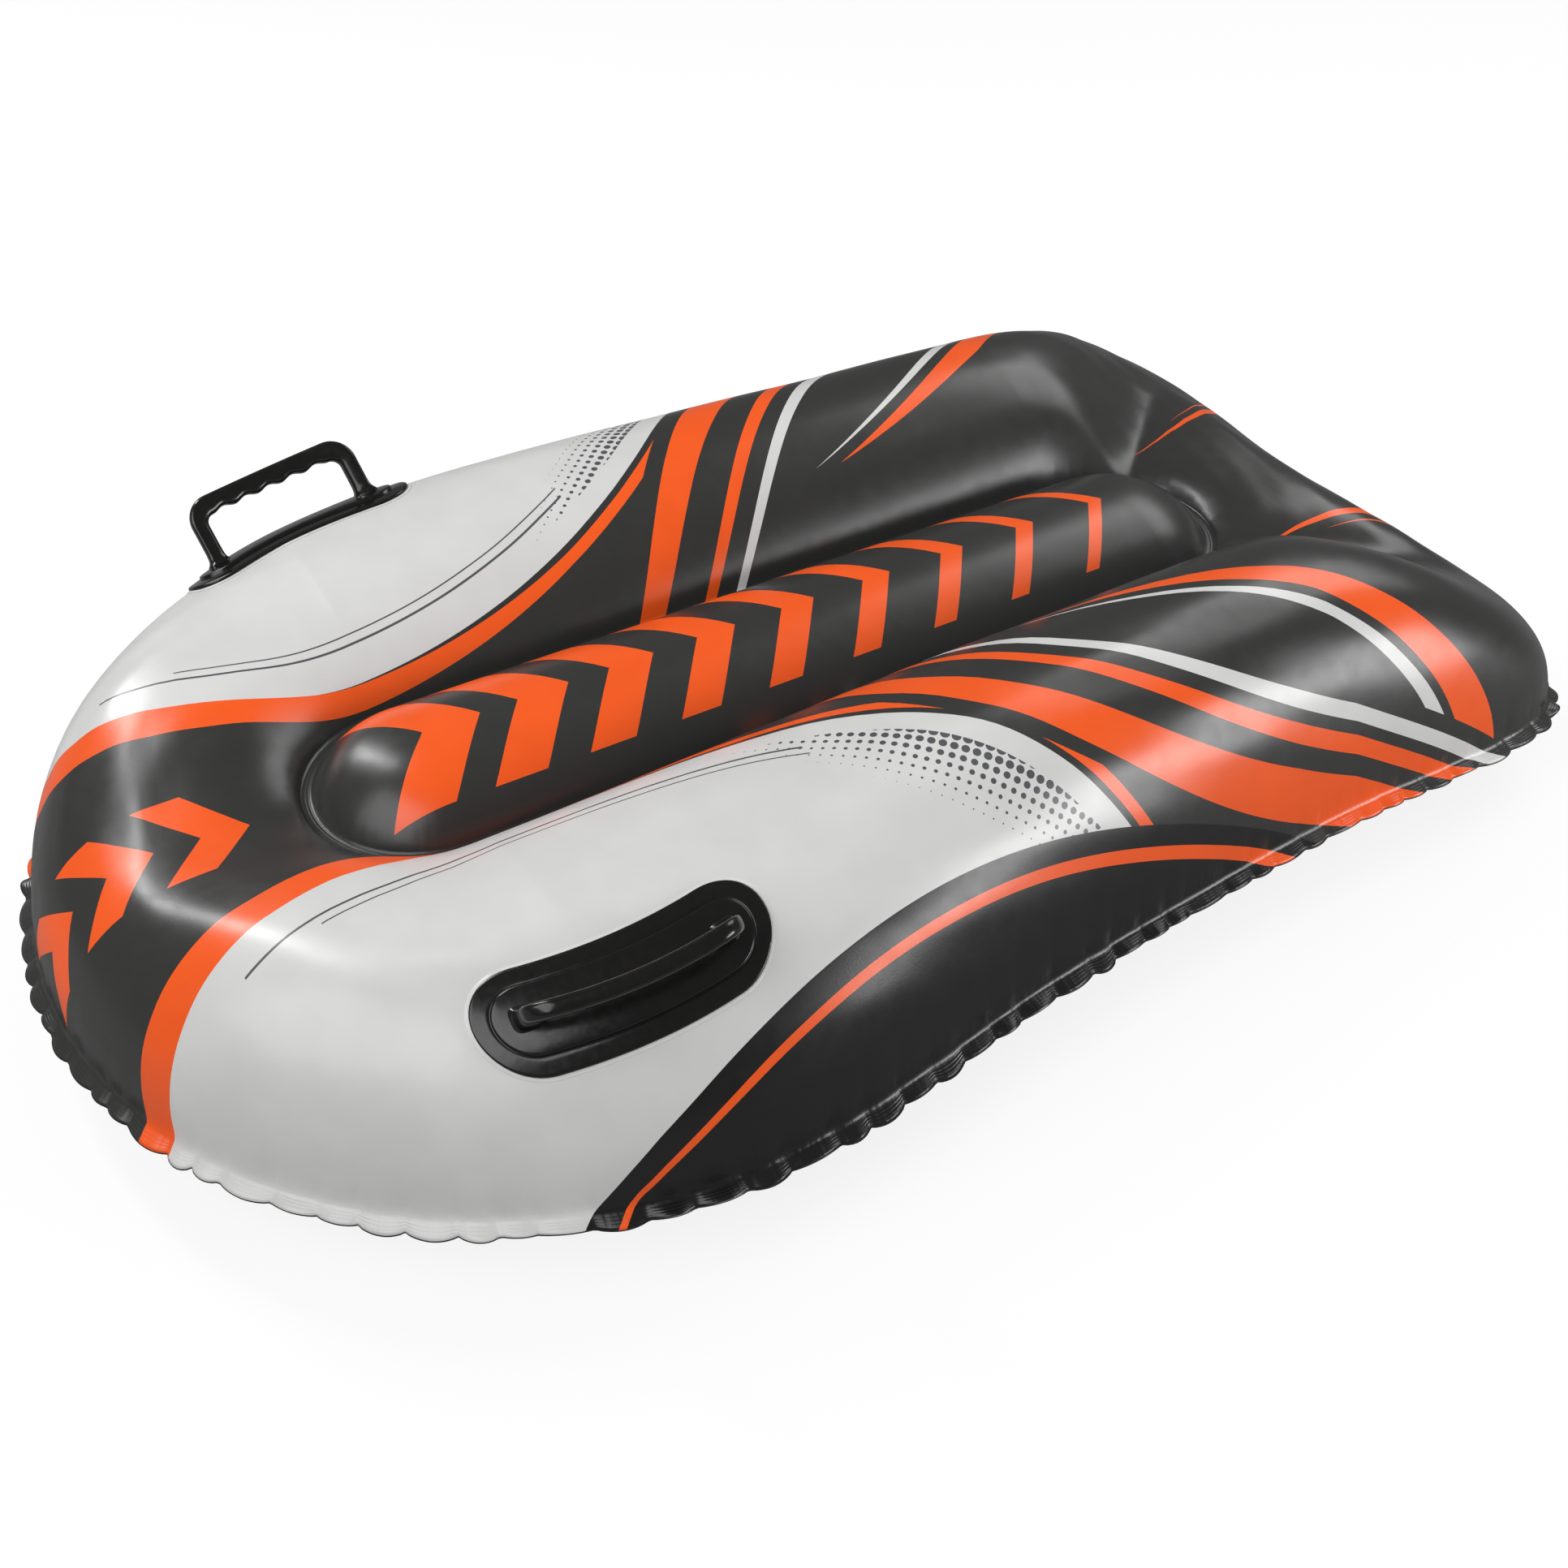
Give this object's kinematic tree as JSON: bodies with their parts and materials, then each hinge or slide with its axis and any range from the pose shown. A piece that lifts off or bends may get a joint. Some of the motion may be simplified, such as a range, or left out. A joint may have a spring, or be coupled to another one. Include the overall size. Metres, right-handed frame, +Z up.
{
  "type": "toboggan sled",
  "caption": "Inflatable snow toboggan sled with a ring tube, a long central pillow, moulded side grab handles and a rear air valve with a capped stem.",
  "frame": {"origin": "centre of the bounding box at its underside, where the sled rests on the snow", "axes": "+Y towards the rear and -Y towards the nose, +X towards the rider's left, +Z up"},
  "size_m": [0.8078, 1.254, 0.2549],
  "materials": {
    "printed_sheet": "satin printed PVC sheet",
    "dark_sheet": "satin dark PVC sheet",
    "web_sheet": "milky PVC sheet",
    "black_moulding": "glossy injection moulding",
    "pale_patch": "pale satin PVC sheet",
    "valve_plastic": "soft moulded PVC, semi-clear",
    "flap_sheet": "soft matt sheet",
    "valve_black": "soft moulded PVC, black"
  },
  "bodies": {
    "sled": {"top_skin": "printed_sheet", "bottom_skin": "dark_sheet", "inner_web": "web_sheet", "handle_left": "black_moulding", "handle_right": "black_moulding", "handle_patch_left": "pale_patch", "handle_patch_right": "pale_patch", "valve_base": "valve_plastic"},
    "stem": {"valve_insert": "valve_plastic", "valve_strap": "valve_black"},
    "flap": {"valve_flap": "flap_sheet"},
    "cap": {"valve_cap": "valve_black"}
  },
  "joints": [
    {"name": "stem_slide", "type": "slide", "parent": "sled", "child": "stem", "axis": [0, 0.9588, 0.2841], "range_m": [0, 0.012]},
    {"name": "flap_hinge", "type": "hinge", "parent": "stem", "child": "flap", "pos_m": [0, 0.5628, 0.11984], "axis": [-1, 0, 0], "range_deg": [0, 60], "stiffness_Nm_per_rad": 0.0002, "springref_deg": -5.73},
    {"name": "cap_hinge", "type": "hinge", "parent": "stem", "child": "cap", "pos_m": [0, 0.58042, 0.13414], "axis": [1, 0, 0], "range_deg": [0, 135]}
  ]
}
